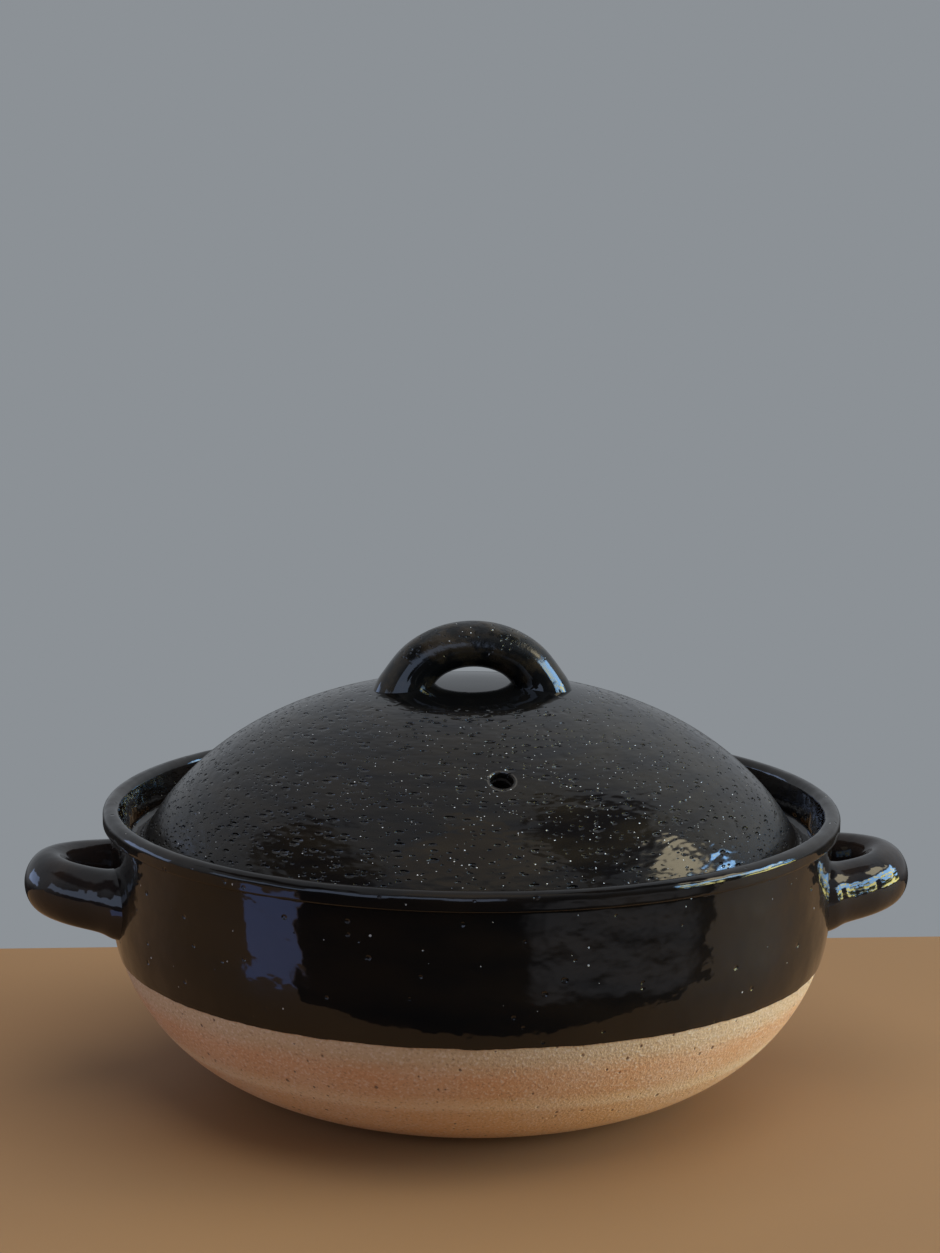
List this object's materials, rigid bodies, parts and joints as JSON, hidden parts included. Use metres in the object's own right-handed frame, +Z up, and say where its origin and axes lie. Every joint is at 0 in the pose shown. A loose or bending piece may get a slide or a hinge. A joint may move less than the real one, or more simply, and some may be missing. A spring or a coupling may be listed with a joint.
{
  "type": "donabe",
  "caption": "Round stoneware pot for the stove, with a bare rounded base, a glazed wall, two loop lugs and a lip, and a lift-off domed lid with a loop handle and a steam hole.",
  "frame": {"origin": "centre of the foot, on the surface that the pot stands on", "axes": "+X along the line of the two lugs, towards the right one; -Y towards the side where the steam hole is when the lid is on; +Z up"},
  "size_m": [0.352, 0.29, 0.185],
  "materials": {
    "glazed_stoneware": "black-brown gloss glaze, bare sandy clay below it on the belly and on the seats",
    "handle_glaze": "smooth black-brown gloss glaze",
    "lid_glaze": "satin black glaze with fine pits and throwing marks"
  },
  "bodies": {
    "pot": {"pot_body": "glazed_stoneware", "right_lug_handle": "handle_glaze", "left_lug_handle": "handle_glaze"},
    "lid": {"lid_dome": "lid_glaze", "lid_handle": "handle_glaze"}
  },
  "joints": [
    {"name": "lid_lift", "type": "slide", "parent": "pot", "child": "lid", "axis": [0, 0, 1], "range_m": [0, 0.12]}
  ]
}
